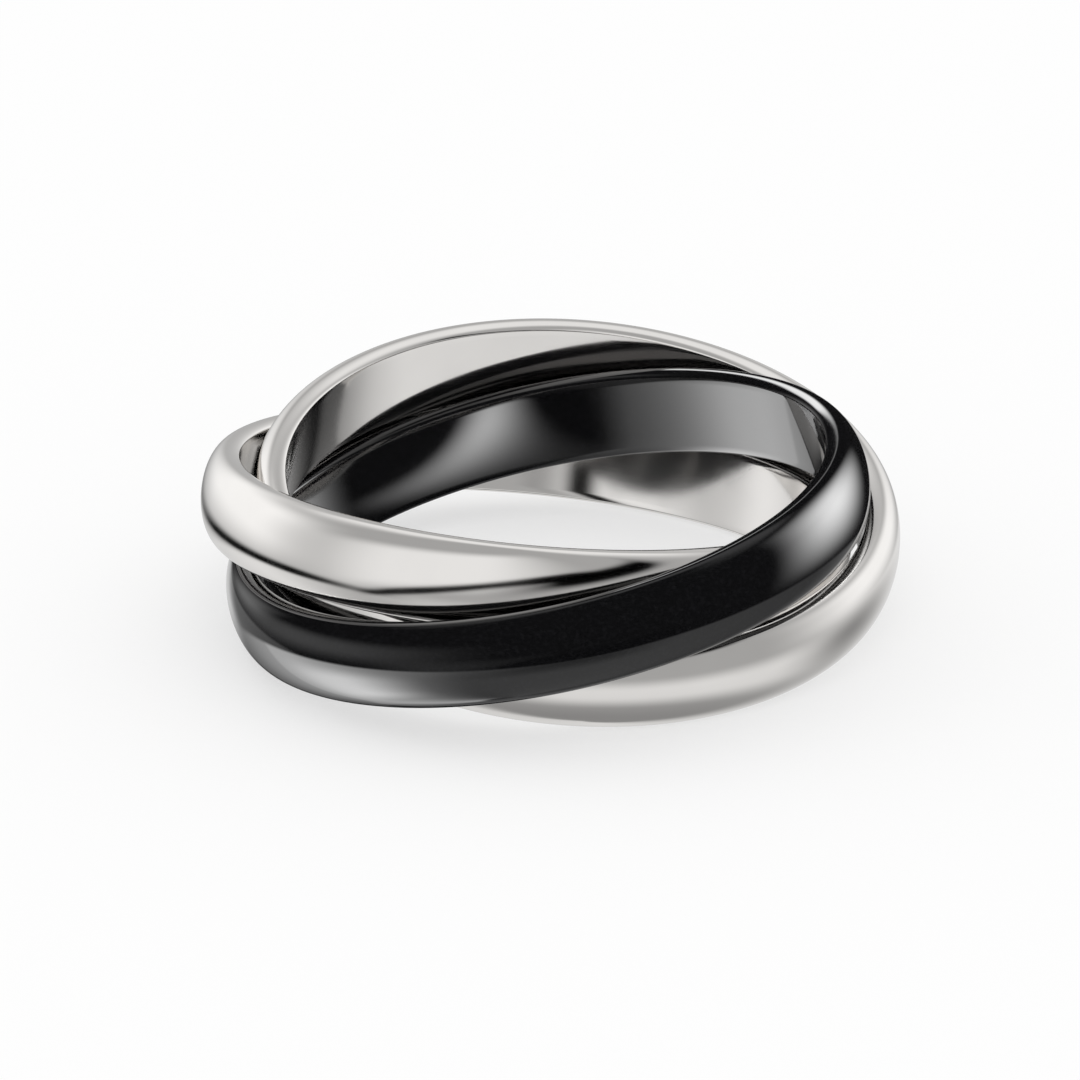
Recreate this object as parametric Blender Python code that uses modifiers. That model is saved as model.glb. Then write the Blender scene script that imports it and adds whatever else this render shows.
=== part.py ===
"""Rolling ring: three interlocked finger bands, lying on a surface.

Units are metres and +Z is up. The bands have one size and one section, flat inside and
domed outside. Each band leans towards its own side, and its centre is shifted at right
angles to that lean, so that every band passes over one neighbour and under the other.
Seen from above and going clockwise, a band runs from its highest point to its outermost,
its lowest and its innermost.
"""

from math import cos, pi, radians, sin

import bpy
from mathutils import Vector

MM = 0.001

# Driving sizes of one band
BORE_RADIUS = 9.75 * MM
BAND_WIDTH = 3.0 * MM
BAND_THICKNESS = 1.18 * MM
FLAT_WIDTH = 2.66 * MM
SHOULDER_HEIGHT = 0.45 * MM

# How every band lies in the ring
LEAN = radians(11.1)
CENTRE_SHIFT = 0.93 * MM

# Facets of one band: the turned shape closes where the last step meets the first
STEPS_ROUND_BAND = 96
STEPS_ON_SHOULDER = 2
STEPS_ON_DOME = 5
MERGE_DISTANCE = 0.001 * MM

# Finish: name, base colour, metallic, roughness
WHITE_METAL = ("white_metal", (0.80, 0.78, 0.76), 1.0, 0.06)
BLACK_GLOSS = ("black_gloss", (0.012, 0.012, 0.013), 0.0, 0.05)

# Each band's name, the compass side where it is highest (degrees, 0 is +X), its finish
BANDS = [
    ("black_band", 0.0, BLACK_GLOSS),
    ("white_band_back", 120.0, WHITE_METAL),
    ("white_band_front", 240.0, WHITE_METAL),
]


def clear_scene():
    """Remove every object that the file starts with."""
    for item in list(bpy.data.objects):
        bpy.data.objects.remove(item, do_unlink=True)


def make_material(name, colour, metallic, roughness):
    """A plain Principled material, made once for each finish."""
    if name in bpy.data.materials:
        return bpy.data.materials[name]
    material = bpy.data.materials.new(name)
    material.use_nodes = True
    shader = material.node_tree.nodes["Principled BSDF"]
    shader.inputs["Base Color"].default_value = (*colour, 1.0)
    shader.inputs["Metallic"].default_value = metallic
    shader.inputs["Roughness"].default_value = roughness
    return material


def band_section():
    """Outline of a band's section as (radius, height) pairs, from the inner top outwards.

    The shoulder and the dome are quarter ellipses that meet upright at the widest point.
    The inner side is one straight line from the last point back to the first.
    """
    half_flat = FLAT_WIDTH / 2
    half_width = BAND_WIDTH / 2
    dome_height = BAND_THICKNESS - SHOULDER_HEIGHT
    upper = []
    for step in range(STEPS_ON_SHOULDER + 1):
        turn = pi / 2 * step / STEPS_ON_SHOULDER
        radius = BORE_RADIUS + SHOULDER_HEIGHT * (1 - cos(turn))
        upper.append((radius, half_flat + (half_width - half_flat) * sin(turn)))
    for step in range(1, STEPS_ON_DOME + 1):
        turn = pi / 2 * step / STEPS_ON_DOME
        radius = BORE_RADIUS + SHOULDER_HEIGHT + dome_height * sin(turn)
        upper.append((radius, half_width * cos(turn)))
    crown = upper.pop()
    lower = [(radius, -height) for radius, height in reversed(upper)]
    return upper + [crown] + lower


def make_band(name, finish, collection):
    """One closed band, its section turned round the band's own axis."""
    section = band_section()
    mesh = bpy.data.meshes.new(name)
    points = [(radius, 0.0, height) for radius, height in section]
    edges = [(i, (i + 1) % len(points)) for i in range(len(points))]
    mesh.from_pydata(points, edges, [])
    mesh.materials.append(make_material(*finish))
    band = bpy.data.objects.new(name, mesh)
    collection.objects.link(band)
    turning = band.modifiers.new("turned", "SCREW")
    turning.axis = "Z"
    turning.angle = 2 * pi
    turning.steps = STEPS_ROUND_BAND
    turning.render_steps = STEPS_ROUND_BAND
    turning.use_merge_vertices = True
    turning.merge_threshold = MERGE_DISTANCE
    turning.use_smooth_shade = True
    return band


def lean_band(band, side):
    """Lean a band so that it is highest on one side, and shift it 90 degrees clockwise of it."""
    heading = radians(side)
    band.rotation_euler = (0.0, -LEAN, heading)
    band.location = Vector((sin(heading), -cos(heading), 0.0)) * CENTRE_SHIFT


def stand_on_origin(bands):
    """Lower the bands onto the plane Z = 0, with the middle of their box over the origin."""
    bpy.context.view_layer.update()
    depsgraph = bpy.context.evaluated_depsgraph_get()
    points = []
    for band in bands:
        solid = band.evaluated_get(depsgraph)
        points += [solid.matrix_world @ vertex.co for vertex in solid.data.vertices]
    low = Vector([min(point[axis] for point in points) for axis in range(3)])
    high = Vector([max(point[axis] for point in points) for axis in range(3)])
    middle = (low + high) / 2
    for band in bands:
        band.location -= Vector((middle.x, middle.y, low.z))


def main():
    clear_scene()
    ring = bpy.data.collections.new("rolling_ring")
    bpy.context.scene.collection.children.link(ring)
    bands = []
    for name, side, finish in BANDS:
        band = make_band(name, finish, ring)
        lean_band(band, side)
        bands.append(band)
    stand_on_origin(bands)


main()
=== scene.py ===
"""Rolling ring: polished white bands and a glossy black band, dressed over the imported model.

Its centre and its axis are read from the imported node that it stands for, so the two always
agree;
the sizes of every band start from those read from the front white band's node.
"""

from collections import namedtuple

import bpy
import numpy as np
from mathutils import Matrix, Vector


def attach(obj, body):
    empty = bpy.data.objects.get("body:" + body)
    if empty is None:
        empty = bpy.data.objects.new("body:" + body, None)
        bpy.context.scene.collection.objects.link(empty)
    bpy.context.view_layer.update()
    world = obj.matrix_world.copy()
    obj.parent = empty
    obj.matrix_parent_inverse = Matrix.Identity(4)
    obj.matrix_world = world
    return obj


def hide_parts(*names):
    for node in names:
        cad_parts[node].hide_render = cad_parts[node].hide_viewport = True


bl_info = {
    "name": "Rolling ring",
    "version": (1, 0, 0),
    "blender": (4, 5, 0),
    "location": "View3D > Sidebar > Rolling ring",
    "description": "Dresses the packed rolling ring and sets up its studio",
    "category": "Object",
}

MM = 0.001
HALF_PI = np.pi / 2
FULL_TURN = 2 * np.pi

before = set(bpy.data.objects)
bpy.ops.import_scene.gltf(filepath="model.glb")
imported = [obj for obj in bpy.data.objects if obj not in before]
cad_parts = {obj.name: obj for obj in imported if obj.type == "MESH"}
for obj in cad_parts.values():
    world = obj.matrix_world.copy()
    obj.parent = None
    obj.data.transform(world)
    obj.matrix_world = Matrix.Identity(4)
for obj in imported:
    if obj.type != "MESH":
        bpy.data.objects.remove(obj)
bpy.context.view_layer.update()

# The node that each piece replaces and its own name. A node's body has the node's name
WHITE_BANDS = {
    "white_band_front": "polished_band_front",
    "white_band_back": "polished_band_back",
}
BLACK_BANDS = {"black_band": "glossy_black_band"}

# How near a packed point lies to the bore, or to the widest point, to count as on it
BORE_TOLERANCE = 0.01 * MM
EDGE_TOLERANCE = 0.001 * MM

# Marks of the polish, from noise. Hairlines change fast across a band, per millimetre of its
# section, and slowly along it, per metre. Haze changes with the place, per metre, and counts
# from the first value of its range to the second. Both blur the polish, and hairlines are
# also a bump
METAL_MARKS = {
    "hairlines_across": 26.0,
    "hairlines_along": 260.0,
    "hairline_blur": 0.02,
    "hairline_strength": 0.12,
    "hairline_depth": 0.0004 * MM,
    "haze_scale": 420.0,
    "haze_range": (0.35, 0.75),
    "haze_blur": 0.035,
}
CERAMIC_MARKS = {
    "hairlines_across": 20.0,
    "hairlines_along": 220.0,
    "hairline_blur": 0.012,
    "hairline_strength": 0.08,
    "hairline_depth": 0.0003 * MM,
    "haze_scale": 380.0,
    "haze_range": (0.4, 0.8),
    "haze_blur": 0.03,
}
HAIRLINE_DETAIL = 3.0

# Haze also dims the metal, to this share of its colour
DIM_RANGE = (0.3, 0.8)
DIM_SHARE = 0.97

# Grain of the ceramic, per metre, and how many times lighter it is there
GRAIN_SCALE = 9000.0
GRAIN_RANGE = (0.45, 0.75)
GRAIN_LIGHTER = 2.0

# Floor, and camera back and reach
FLOOR_SIZE = 4.0
FLOOR_COLOUR = (0.40, 0.40, 0.40)
FLOOR_ROUGHNESS = 0.9
FLOOR_GLOW = 0.59
PURE_WHITE = (1.0, 1.0, 1.0, 1.0)
SENSOR_WIDTH = 36.0
NEAREST_SEEN = 0.01
FARTHEST_SEEN = 10.0

# Light tents: a bright shell round the ring for the white bands, and a dark one round that for
# the black band. Each has a brightness all over, and panels that brighten or shade it, with
# the azimuth and elevation of the middle, the half width and half height, the softness of the
# sides and of the top and bottom, from 0, sharp, to 1, the brightness, and how far the panel
# climbs per degree across
LightPanel = namedtuple(
    "LightPanel",
    "name azimuth elevation half_width half_height side_softness edge_softness brightness climb",
)
WHITE_TENT = {
    "radius": 0.9,
    "see_through": True,
    "brightness": 0.40,
    "panels": [
        LightPanel("right back box", 130, 8, 36, 24, 0.70, 0.70, 0.60, 0.0),
        LightPanel("left back box", -124, 10, 36, 26, 0.60, 0.60, 0.62, 0.0),
        LightPanel("front left box", -28, 20, 40, 28, 0.60, 0.35, 0.46, 0.4),
        LightPanel("back high box", 178, 60, 60, 15, 0.60, 0.50, 0.45, 0.0),
        LightPanel("low left card", -150, -56, 66, 33, 0.55, 0.05, 0.42, -0.1),
        LightPanel("low card", 40, -37, 75, 13, 0.50, 0.70, 0.36, 0.0),
        LightPanel("right streak", 38, 27.4, 34, 7, 0.60, 0.80, -0.60, 0.62),
        LightPanel("left streak", -108, -24, 46, 3.2, 0.60, 0.95, -0.62, -0.04),
        LightPanel("middle streak", -15, 0.5, 37, 3.4, 0.40, 0.95, -0.80, 0.66),
        LightPanel("dark below", 0, -84, 180, 30, 0.50, 0.80, -0.14, 0.0),
        LightPanel("right low shade", 122, -29, 20, 9, 1.00, 1.00, -0.26, 0.0),
        LightPanel("back low flag", 180, -36, 50, 22, 0.60, 0.80, -0.14, 0.0),
    ],
}
BLACK_TENT = {
    "radius": 1.0,
    "see_through": False,
    "brightness": 0.012,
    "panels": [
        LightPanel("right back box", 122, 12, 19, 21, 0.95, 0.85, 6.00, 0.0),
        LightPanel("left back box", -132, 6, 12, 12, 0.90, 0.80, 0.60, 0.0),
        LightPanel("low left card", -90, -55, 34, 29, 1.00, 0.03, 2.20, 0.0),
        LightPanel("bright middle of the card", -82, -47, 20, 13, 1.00, 0.50, 2.60, 0.0),
        LightPanel("left wing of the card", -130, -41, 32, 25, 0.30, 0.06, 0.34, -0.3),
        LightPanel("soft end of the card", 10, -28, 30, 7, 0.60, 0.90, -0.25, 0.0),
        LightPanel("soft edge of the card", -30, -23, 26, 7, 0.60, 0.90, 0.16, 0.0),
        LightPanel("left edge light", -163, -16, 14, 10, 0.60, 0.40, 0.80, 0.0),
        LightPanel("left flag", -152, -44, 30, 18, 0.06, 0.06, -0.44, 0.0),
        LightPanel("low card", -60, -60, 175, 34, 0.50, 0.03, 0.42, 0.0),
        LightPanel("dark below", -86, -86, 60, 26, 0.60, 0.90, -0.25, 0.0),
        LightPanel("glow over the card", -88, -6, 40, 11, 0.90, 0.80, 0.42, 0.0),
        LightPanel("rim light", -161, 23.5, 7, 3.5, 0.50, 0.40, 4.60, 0.0),
        LightPanel("high strip", 170, 62, 70, 10, 0.60, 0.60, 0.35, 0.0),
    ],
}
TENT_ROWS = 180

# A pool of light on the floor inside the ring, which the black band's inner face reflects.
# Its long side is turned from +Y, in degrees
FLOOR_POOL = {
    "middle": (2.6 * MM, -2.2 * MM, -0.02 * MM),
    "turn": 7,
    "half_width": 1.36 * MM,
    "half_length": 4.2 * MM,
    "see_through": True,
    "brightness": 4.5,
}
POOL_STEPS = 48

# A fully soft edge is halfway out at the half width, and all the way at twice that
FULLY_SOFT = 1
FULLY_SOFT_REACH = 2


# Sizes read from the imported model


def measure_band(node):
    """Centre, axis and section sizes of a packed band.

    The centre is the mean of the points, and the axis is the direction in which they
    spread least. The bore is the smallest distance from the axis, the crown the largest.
    """
    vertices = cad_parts[node].data.vertices
    points = np.empty(len(vertices) * 3)
    vertices.foreach_get("co", points)
    points = points.reshape(-1, 3)
    centre = points.mean(axis=0)
    spread = points - centre
    axis = np.linalg.eigh(spread.T @ spread)[1][:, 0]
    axis = axis * np.sign(axis[2])
    height = spread @ axis
    radius = np.linalg.norm(spread - height[:, None] * axis, axis=1)
    on_bore = radius < radius.min() + BORE_TOLERANCE
    widest = np.abs(height) > np.abs(height).max() - EDGE_TOLERANCE
    return {
        "centre": centre,
        "axis": axis,
        "bore_radius": float(radius.min()),
        "thickness": float(np.ptp(radius)),
        "width": float(np.ptp(height)),
        "flat_width": float(np.ptp(height[on_bore])),
        "shoulder": float(radius[widest].mean() - radius.min()),
    }


BAND_PLACES = {node: measure_band(node) for node in (*WHITE_BANDS, *BLACK_BANDS)}
FIRST_BAND = BAND_PLACES["white_band_front"]


# Settings that a user would change


class BandSettings(bpy.types.PropertyGroup):
    """Section of the bands, and how finely they are drawn."""

    bore_radius: bpy.props.FloatProperty(
        name="Bore radius", description="Inner radius of one band",
        default=FIRST_BAND["bore_radius"], subtype="DISTANCE", unit="LENGTH", precision=5,
    )
    thickness: bpy.props.FloatProperty(
        name="Thickness", description="From the bore to the crown of the dome",
        default=FIRST_BAND["thickness"], subtype="DISTANCE", unit="LENGTH", precision=5,
    )
    width: bpy.props.FloatProperty(
        name="Width", description="Width of one band along its own axis",
        default=FIRST_BAND["width"], subtype="DISTANCE", unit="LENGTH", precision=5,
    )
    flat_width: bpy.props.FloatProperty(
        name="Flat width", description="Width of the flat inner face",
        default=FIRST_BAND["flat_width"], subtype="DISTANCE", unit="LENGTH", precision=5,
    )
    shoulder: bpy.props.FloatProperty(
        name="Shoulder", description="Height of the widest point over the bore",
        default=FIRST_BAND["shoulder"], subtype="DISTANCE", unit="LENGTH", precision=5,
    )
    steps_round: bpy.props.IntProperty(
        name="Steps round", description="Facets round one band", default=720, min=96,
    )
    steps_across: bpy.props.IntProperty(
        name="Steps across", description="Facets on half a dome", default=28, min=6,
    )


class FinishSettings(bpy.types.PropertyGroup):
    """Colours and gloss of the finishes."""

    white_colour: bpy.props.FloatVectorProperty(
        name="White metal", description="Reflected colour of the polished metal",
        default=(0.905, 0.885, 0.862), size=3, subtype="COLOR", min=0.0, max=1.0,
    )
    white_roughness: bpy.props.FloatProperty(
        name="White roughness", description="Blur of the metal's mirror polish",
        default=0.07, min=0.0, max=1.0, subtype="FACTOR",
    )
    black_colour: bpy.props.FloatVectorProperty(
        name="Black ceramic", description="Body colour of the black band",
        default=(0.004, 0.004, 0.0045), size=3, subtype="COLOR", min=0.0, max=1.0,
    )
    black_roughness: bpy.props.FloatProperty(
        name="Black roughness", description="Blur of the ceramic's gloss",
        default=0.04, min=0.0, max=1.0, subtype="FACTOR",
    )
    black_index: bpy.props.FloatProperty(
        name="Black index", description="Index of refraction of the dense black ceramic",
        default=1.8, min=1.0, max=3.0,
    )


class StudioSettings(bpy.types.PropertyGroup):
    """Camera and light."""

    camera_azimuth: bpy.props.FloatProperty(
        name="Camera azimuth", description="Right of straight ahead, in degrees", default=3.76,
    )
    camera_elevation: bpy.props.FloatProperty(
        name="Camera elevation", description="Above the floor, in degrees", default=22.64,
    )
    camera_roll: bpy.props.FloatProperty(
        name="Camera roll", description="Turn about the line of sight, in degrees", default=-0.94,
    )
    camera_distance: bpy.props.FloatProperty(
        name="Camera distance", description="From the point that the camera looks at",
        default=0.483, subtype="DISTANCE", unit="LENGTH",
    )
    focal_length: bpy.props.FloatProperty(
        name="Focal length", description="Long lens, in millimetres", default=481.3,
    )
    aim_left: bpy.props.FloatProperty(
        name="Aim left", description="How far left of the ring's middle the camera looks",
        default=0.32 * MM, subtype="DISTANCE", unit="LENGTH", precision=5,
    )
    aim_below: bpy.props.FloatProperty(
        name="Aim below", description="How far below the ring's middle the camera looks",
        default=0.52 * MM, subtype="DISTANCE", unit="LENGTH", precision=5,
    )
    surroundings: bpy.props.FloatProperty(
        name="Surroundings", description="Brightness of the room outside the tents", default=1.0,
    )


# Shader maths

# Places of the colour sockets on a Mix node, whose names its number sockets share
COLOUR_A = 6
COLOUR_B = 7
COLOUR_RESULT = 2

# The mesh attribute that holds a point's place in its band's section
SECTION = "section"

# The mesh attribute that holds the brightness of a light
GLOW = "glow"


class Term:
    """A number that varies over a surface: sums and products on it add Math nodes."""

    def __init__(self, shader, socket):
        self.shader = shader
        self.socket = socket

    def combine(self, operation, other):
        node = self.shader.node("ShaderNodeMath", {"operation": operation}, [self, other])
        return Term(self.shader, node.outputs[0])

    def __add__(self, other):
        return self.combine("ADD", other)

    def __mul__(self, other):
        return self.combine("MULTIPLY", other)

    __radd__ = __add__
    __rmul__ = __mul__

    def smooth(self, low, high):
        """0 below low and 1 above high, with an eased step between."""
        settings = {"interpolation_type": "SMOOTHSTEP"}
        values = {"Value": self, "From Min": low, "From Max": high}
        node = self.shader.node("ShaderNodeMapRange", settings, values)
        return Term(self.shader, node.outputs["Result"])


class Shader:
    """A material's node tree, with one method that adds any node."""

    def __init__(self, name):
        self.material = bpy.data.materials.new(name)
        self.material.use_nodes = True
        self.tree = self.material.node_tree
        self.surface = self.tree.nodes["Principled BSDF"]

    def node(self, kind, settings=None, values=None):
        """Add a node. Values are given by socket name, or in the order of the sockets."""
        node = self.tree.nodes.new(kind)
        for name, setting in (settings or {}).items():
            setattr(node, name, setting)
        pairs = values.items() if isinstance(values, dict) else enumerate(values or ())
        for key, value in pairs:
            self.feed(node.inputs[key], value)
        return node

    def feed(self, socket, value):
        """Set a socket to a plain value, or link it to a term or to another socket."""
        if isinstance(value, Term):
            value = value.socket
        if isinstance(value, bpy.types.NodeSocket):
            self.tree.links.new(value, socket)
        else:
            socket.default_value = value

    def feed_surface(self, values):
        """Feed sockets of the material's main shader, by name."""
        for name, value in values.items():
            self.feed(self.surface.inputs[name], value)

    def parts(self, vector):
        """The three parts of a vector, as terms."""
        split = self.node("ShaderNodeSeparateXYZ", values=[vector])
        return [Term(self, output) for output in split.outputs]

    def place(self):
        """The point's own place, in metres, as three terms."""
        return self.parts(self.node("ShaderNodeTexCoord").outputs["Object"])

    def section(self):
        """The point's place in the band's section, in millimetres: height and radius."""
        node = self.node("ShaderNodeAttribute", {"attribute_name": SECTION})
        return self.parts(node.outputs["Vector"])[:2]

    def noise(self, place, scale=1.0, detail=2.0):
        """Noise at a place of three terms, times the scale."""
        point = self.node("ShaderNodeCombineXYZ", values=place).outputs[0]
        values = {"Vector": point, "Scale": scale, "Detail": detail}
        node = self.node("ShaderNodeTexNoise", values=values)
        return Term(self, node.outputs["Fac"])

    def colour_between(self, factor, first, second):
        """First colour where the factor is 0, second where it is 1."""
        node = self.node("ShaderNodeMix", {"data_type": "RGBA"})
        self.feed(node.inputs["Factor"], factor)
        self.feed(node.inputs[COLOUR_A], (*first, 1.0))
        self.feed(node.inputs[COLOUR_B], (*second, 1.0))
        return node.outputs[COLOUR_RESULT]

    def bump(self, height, strength, distance):
        """A normal that stands for relief of the given height."""
        values = {"Height": height, "Strength": strength, "Distance": distance}
        return self.node("ShaderNodeBump", values=values).outputs["Normal"]


# Finishes


def add_polish(shader, marks, roughness):
    """Give a material its polish, and return the haze on it.

    Hairlines are noise at (across * height + along * x, across * radius + along * y,
    along * z). The roughness is its own plus a share of the haze and of the hairlines.
    """
    height, radius = shader.section()
    x, y, z = shader.place()
    across = marks["hairlines_across"]
    along = marks["hairlines_along"]
    stretched = [height * across + x * along, radius * across + y * along, z * along]
    hairlines = shader.noise(stretched, detail=HAIRLINE_DETAIL)
    haze = shader.noise([x, y, z], marks["haze_scale"])
    haze_blur = haze.smooth(*marks["haze_range"]) * marks["haze_blur"]
    relief = shader.bump(hairlines, marks["hairline_strength"], marks["hairline_depth"])
    shader.feed_surface({
        "Roughness": haze_blur + hairlines * marks["hairline_blur"] + roughness,
        "Normal": relief,
    })
    return haze


def polished_metal(settings):
    """Mirror-polished white metal, with faint hairlines, and haze that dims it a little."""
    shader = Shader("polished_white_metal")
    haze = add_polish(shader, METAL_MARKS, settings.white_roughness)
    bright = settings.white_colour
    dim = [DIM_SHARE * part for part in bright]
    shader.feed_surface({
        "Base Color": shader.colour_between(haze.smooth(*DIM_RANGE), bright, dim),
        "Metallic": 1.0,
    })
    return shader.material


def black_ceramic(settings):
    """Dense black ceramic, polished to a deep gloss.

    It reflects more than glass does. Its body is almost black, a touch lighter where fine
    noise stands for the grain.
    """
    shader = Shader("black_ceramic")
    add_polish(shader, CERAMIC_MARKS, settings.black_roughness)
    grain = shader.noise(shader.place(), GRAIN_SCALE)
    body = settings.black_colour
    lighter = [GRAIN_LIGHTER * part for part in body]
    shader.feed_surface({
        "Base Color": shader.colour_between(grain.smooth(*GRAIN_RANGE), body, lighter),
        "Metallic": 0.0,
        "IOR": settings.black_index,
    })
    return shader.material


def matte_floor():
    """Plain pale floor, with no pattern: a light table, so shadows on it stay soft."""
    shader = Shader("pale_floor")
    shader.feed_surface({
        "Base Color": (*FLOOR_COLOUR, 1.0),
        "Roughness": FLOOR_ROUGHNESS,
        "Specular IOR Level": 0.0,
        "Emission Color": PURE_WHITE,
        "Emission Strength": FLOOR_GLOW,
    })
    return shader.material


# Surfaces


def quarter_turn(steps):
    """Angles from 0 to a quarter turn, evenly spaced."""
    return np.linspace(0, HALF_PI, steps + 1)


def band_outline(settings):
    """Section of a band as a closed loop of (radius, height).

    The flat inner face runs into a shoulder and then a dome, both quarter ellipses:
    radius = bore + shoulder * (1 - cos a), height = half flat + rest * sin a, and then
    radius = bore + shoulder + rise * sin a, height = half width * cos a. The lower half
    mirrors the upper one. The shoulder has half as many facets as the dome's half, and the
    flat's half a quarter.
    """
    bore = settings.bore_radius
    shoulder = settings.shoulder
    rise = settings.thickness - shoulder
    half_flat = settings.flat_width / 2
    half_width = settings.width / 2
    flat_height = np.linspace(0, half_flat, settings.steps_across // 4 + 1)
    flat_radius = np.full(len(flat_height), bore)
    shoulder_turn = quarter_turn(settings.steps_across // 2)
    shoulder_radius = bore + shoulder * (1 - np.cos(shoulder_turn))
    shoulder_height = half_flat + (half_width - half_flat) * np.sin(shoulder_turn)
    dome_turn = quarter_turn(settings.steps_across)
    dome_radius = bore + shoulder + rise * np.sin(dome_turn)
    dome_height = half_width * np.cos(dome_turn)
    radius = np.concatenate([flat_radius, shoulder_radius[1:], dome_radius[1:]])
    height = np.concatenate([flat_height, shoulder_height[1:], dome_height[1:]])
    radius = np.concatenate([radius, radius[-2:0:-1]])
    height = np.concatenate([height, -height[-2:0:-1]])
    return radius, height


def turned_points(radius, height, centre, axis, steps):
    """Point (a, s) = centre + radius(s) * (side * cos a + front * sin a) + height(s) * axis."""
    side = np.cross((0.0, 1.0, 0.0), axis)
    side /= np.linalg.norm(side)
    front = np.cross(axis, side)
    angle = np.arange(steps) * FULL_TURN / steps
    outward = np.cos(angle)[:, None] * side + np.sin(angle)[:, None] * front
    return centre + radius[None, :, None] * outward[:, None, :] + height[None, :, None] * axis


def grid_faces(rows, columns, rows_close=True, columns_close=True):
    """Corners of the quads of a grid, whose last row or column may join its first."""
    row, column = np.meshgrid(
        np.arange(rows if rows_close else rows - 1),
        np.arange(columns if columns_close else columns - 1),
        indexing="ij",
    )
    next_row = (row + 1) % rows
    next_column = (column + 1) % columns
    corners = [(row, column), (row, next_column), (next_row, next_column), (next_row, column)]
    return np.stack([r * columns + c for r, c in corners], axis=-1).reshape(-1, 4)


def mesh_from_grid(name, points, faces):
    """A smooth-shaded mesh from arrays of points and quads."""
    mesh = bpy.data.meshes.new(name)
    mesh.vertices.add(points.size // 3)
    mesh.vertices.foreach_set("co", points.astype(np.float32).ravel())
    mesh.loops.add(faces.size)
    mesh.loops.foreach_set("vertex_index", faces.astype(np.int32).ravel())
    mesh.polygons.add(len(faces))
    mesh.polygons.foreach_set("loop_start", np.arange(0, faces.size, 4, dtype=np.int32))
    mesh.update(calc_edges=True)
    mesh.validate()
    mesh.shade_smooth()
    return mesh


def make_band(node, name, material, settings):
    """A fine band in the place of a packed one, riding on the same body."""
    place = BAND_PLACES[node]
    radius, height = band_outline(settings)
    points = turned_points(radius, height, place["centre"], place["axis"], settings.steps_round)
    mesh = mesh_from_grid(name, points, grid_faces(settings.steps_round, len(radius)))
    in_section = np.stack([height, radius, np.zeros(len(radius))], axis=-1) / MM
    section = mesh.attributes.new(SECTION, "FLOAT_VECTOR", "POINT")
    section.data.foreach_set("vector", np.tile(in_section.ravel(), settings.steps_round))
    mesh.materials.append(material)
    band = bpy.data.objects.new(name, mesh)
    bpy.context.scene.collection.objects.link(band)
    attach(band, node)
    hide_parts(node)


# Studio


def direction(azimuth, elevation):
    """Unit vector (sin az cos el, -cos az cos el, sin el), from angles in degrees.

    Azimuth 0 points from the ring towards the camera's side, and 90 to its right.
    """
    turn, rise = np.radians([azimuth, elevation])
    level = np.cos(rise)
    return np.stack([np.sin(turn) * level, -np.cos(turn) * level, np.sin(rise)], axis=-1)


def make_floor():
    """A wide plain floor under the ring."""
    half = FLOOR_SIZE / 2
    points = [(-half, -half, 0), (half, -half, 0), (half, half, 0), (-half, half, 0)]
    mesh = bpy.data.meshes.new("floor")
    mesh.from_pydata(points, [], [(0, 1, 2, 3)])
    mesh.materials.append(matte_floor())
    floor = bpy.data.objects.new("floor", mesh)
    floor.visible_glossy = False
    bpy.context.scene.collection.objects.link(floor)


def faded(reach, softness):
    """1 inside a panel and 0 outside: 1 - smoothstep(1 - softness, 1 + softness, reach)."""
    step = np.clip((reach - 1 + softness) / (2 * softness), 0, 1)
    return 1 - step * step * (3 - 2 * step)


def tent_glow(azimuth, elevation, tent):
    """Brightness of a tent by direction, in degrees: its own, plus that of each panel.

    A panel is brightness * faded(across / half width) * faded(up / half height).
    """
    glow = np.full(azimuth.shape, tent["brightness"])
    for panel in tent["panels"]:
        across = (azimuth - panel.azimuth + 180) % 360 - 180
        up = elevation - panel.elevation - panel.climb * across
        within_sides = faded(abs(across) / panel.half_width, panel.side_softness)
        within_edges = faded(abs(up) / panel.half_height, panel.edge_softness)
        glow += panel.brightness * within_sides * within_edges
    return np.maximum(glow, 0)


def glowing_film(name, see_through):
    """Film that glows by its mesh's own brightness, and lets light through or stops it."""
    shader = Shader(name)
    attribute = shader.node("ShaderNodeAttribute", {"attribute_name": GLOW})
    glow = shader.node("ShaderNodeEmission", values={"Strength": attribute.outputs["Fac"]})
    film = glow.outputs[0]
    if see_through:
        clear = shader.node("ShaderNodeBsdfTransparent")
        film = shader.node("ShaderNodeAddShader", values=[film, clear.outputs[0]]).outputs[0]
    shader.feed(shader.tree.nodes["Material Output"].inputs["Surface"], film)
    shader.material.cycles.emission_sampling = "NONE"
    return shader.material


def make_light(name, mesh, brightness, see_through, lit):
    """Turn a mesh into a light that shines on the given pieces alone, and that no camera sees."""
    glow = mesh.attributes.new(GLOW, "FLOAT", "POINT")
    glow.data.foreach_set("value", brightness.ravel().astype(np.float32))
    mesh.materials.append(glowing_film(name + "_film", see_through))
    light = bpy.data.objects.new(name, mesh)
    light.visible_camera = False
    light.visible_diffuse = False
    light.visible_shadow = False
    group = bpy.data.collections.new(name + "_lights")
    for piece in lit:
        group.objects.link(bpy.data.objects[piece])
    light.light_linking.receiver_collection = group
    bpy.context.scene.collection.objects.link(light)


def make_tent(name, tent, lit):
    """A round light tent. Point (azimuth, elevation) = radius * direction."""
    around = np.arange(2 * TENT_ROWS) * 180 / TENT_ROWS
    upwards = np.linspace(-90, 90, TENT_ROWS + 1)
    azimuth, elevation = np.meshgrid(around, upwards, indexing="ij")
    points = direction(azimuth, elevation) * tent["radius"]
    mesh = mesh_from_grid(name, points, grid_faces(*azimuth.shape, columns_close=False))
    make_light(name, mesh, tent_glow(azimuth, elevation, tent), tent["see_through"], lit)


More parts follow.
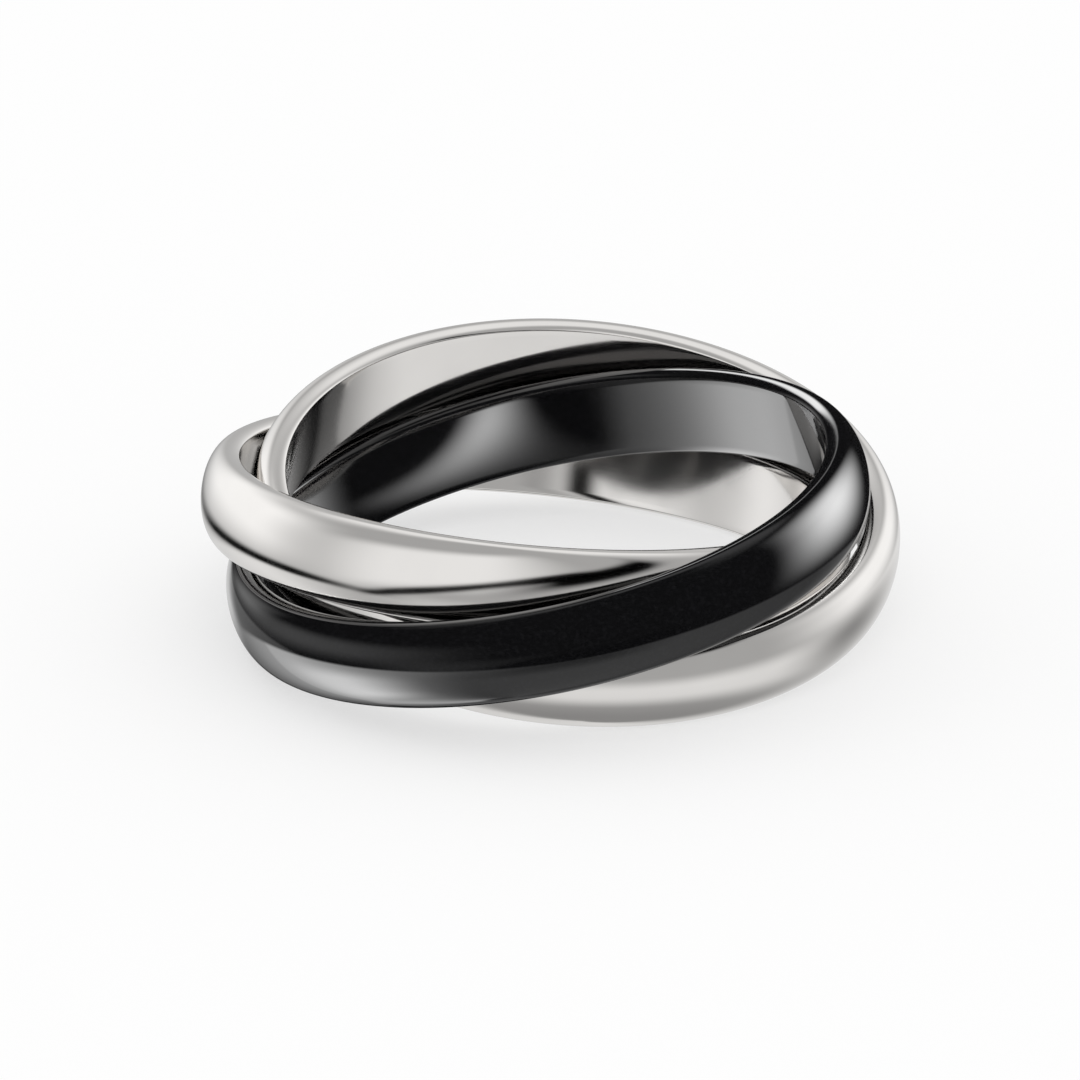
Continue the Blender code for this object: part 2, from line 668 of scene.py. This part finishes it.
def make_pool(name, pool, lit):
    """A flat, soft-edged pool of light, turned about +Z.

    Point (across, along) = middle + across * side + along * front, and its brightness is
    brightness * faded(across) * faded(along), with across and along in half widths and
    half lengths.
    """
    reach = np.linspace(-FULLY_SOFT_REACH, FULLY_SOFT_REACH, POOL_STEPS)
    across, along = np.meshgrid(reach, reach, indexing="ij")
    turn = np.radians(pool["turn"])
    side = np.array([np.cos(turn), np.sin(turn), 0]) * pool["half_width"]
    front = np.array([-np.sin(turn), np.cos(turn), 0]) * pool["half_length"]
    points = pool["middle"] + across[..., None] * side + along[..., None] * front
    faces = grid_faces(*across.shape, rows_close=False, columns_close=False)
    glow = pool["brightness"] * faded(abs(across), FULLY_SOFT) * faded(abs(along), FULLY_SOFT)
    make_light(name, mesh_from_grid(name, points, faces), glow, pool["see_through"], lit)


def light_room(brightness):
    """An even, pale room beyond the tents: the floor and the camera see it, the bands don't."""
    world = bpy.data.worlds.new("room")
    world.use_nodes = True
    background = world.node_tree.nodes["Background"].inputs
    background["Color"].default_value = PURE_WHITE
    background["Strength"].default_value = brightness
    world.cycles.sampling_method = "NONE"
    bpy.context.scene.world = world


def place_camera(settings):
    """A long lens that looks at a point a little off the middle of the ring."""
    camera = bpy.data.cameras.new("camera")
    camera.sensor_width = SENSOR_WIDTH
    camera.lens = settings.focal_length
    camera.clip_start = NEAREST_SEEN
    camera.clip_end = FARTHEST_SEEN
    back = Vector(direction(settings.camera_azimuth, settings.camera_elevation))
    rolled = Matrix.Rotation(np.radians(settings.camera_roll), 3, back)
    right = rolled @ Vector((0, 0, 1)).cross(back).normalized()
    up = back.cross(right)
    middle = Vector(np.mean([place["centre"] for place in BAND_PLACES.values()], axis=0))
    aim = middle - right * settings.aim_left - up * settings.aim_below
    turned = Matrix((right, up, back)).transposed().to_4x4()
    holder = bpy.data.objects.new("camera", camera)
    holder.matrix_world = Matrix.Translation(aim + back * settings.camera_distance) @ turned
    bpy.context.scene.collection.objects.link(holder)
    bpy.context.scene.camera = holder


# Operators


class RING_OT_white_bands(bpy.types.Operator):
    """Make the polished white bands"""

    bl_idname = "rolling_ring.white_bands"
    bl_label = "Make white bands"

    def execute(self, context):
        material = polished_metal(context.scene.ring_finish)
        for node, name in WHITE_BANDS.items():
            make_band(node, name, material, context.scene.ring_bands)
        return {"FINISHED"}


class RING_OT_black_band(bpy.types.Operator):
    """Make the glossy black band"""

    bl_idname = "rolling_ring.black_band"
    bl_label = "Make black band"

    def execute(self, context):
        material = black_ceramic(context.scene.ring_finish)
        for node, name in BLACK_BANDS.items():
            make_band(node, name, material, context.scene.ring_bands)
        return {"FINISHED"}


class RING_OT_studio(bpy.types.Operator):
    """Set up the floor, the lights and the camera"""

    bl_idname = "rolling_ring.studio"
    bl_label = "Set up studio"

    def execute(self, context):
        settings = context.scene.ring_studio
        make_floor()
        make_tent("white_tent", WHITE_TENT, WHITE_BANDS.values())
        make_tent("black_tent", BLACK_TENT, BLACK_BANDS.values())
        make_pool("floor_pool", FLOOR_POOL, BLACK_BANDS.values())
        light_room(settings.surroundings)
        place_camera(settings)
        context.scene.view_settings.view_transform = "Standard"
        return {"FINISHED"}


class RING_PT_panel(bpy.types.Panel):
    """Settings of the rolling ring, and the buttons that make it"""

    bl_label = "Rolling ring"
    bl_idname = "RING_PT_panel"
    bl_space_type = "VIEW_3D"
    bl_region_type = "UI"
    bl_category = "Rolling ring"

    def draw(self, context):
        scene = context.scene
        for group in (scene.ring_bands, scene.ring_finish, scene.ring_studio):
            column = self.layout.column(align=True)
            for name in group.__annotations__:
                column.prop(group, name)
        for operator in (RING_OT_white_bands, RING_OT_black_band, RING_OT_studio):
            self.layout.operator(operator.bl_idname)


CLASSES = (
    BandSettings,
    FinishSettings,
    StudioSettings,
    RING_OT_white_bands,
    RING_OT_black_band,
    RING_OT_studio,
    RING_PT_panel,
)


def register():
    """Add the classes, and the settings that the scene keeps."""
    for item in CLASSES:
        bpy.utils.register_class(item)
    bpy.types.Scene.ring_bands = bpy.props.PointerProperty(type=BandSettings)
    bpy.types.Scene.ring_finish = bpy.props.PointerProperty(type=FinishSettings)
    bpy.types.Scene.ring_studio = bpy.props.PointerProperty(type=StudioSettings)


def unregister():
    """Take away what register added."""
    del bpy.types.Scene.ring_studio
    del bpy.types.Scene.ring_finish
    del bpy.types.Scene.ring_bands
    for item in reversed(CLASSES):
        bpy.utils.unregister_class(item)


def main():
    """Make the bands and the studio."""
    register()
    bpy.ops.rolling_ring.white_bands()
    bpy.ops.rolling_ring.black_band()
    bpy.ops.rolling_ring.studio()


if __name__ == "__main__":
    main()
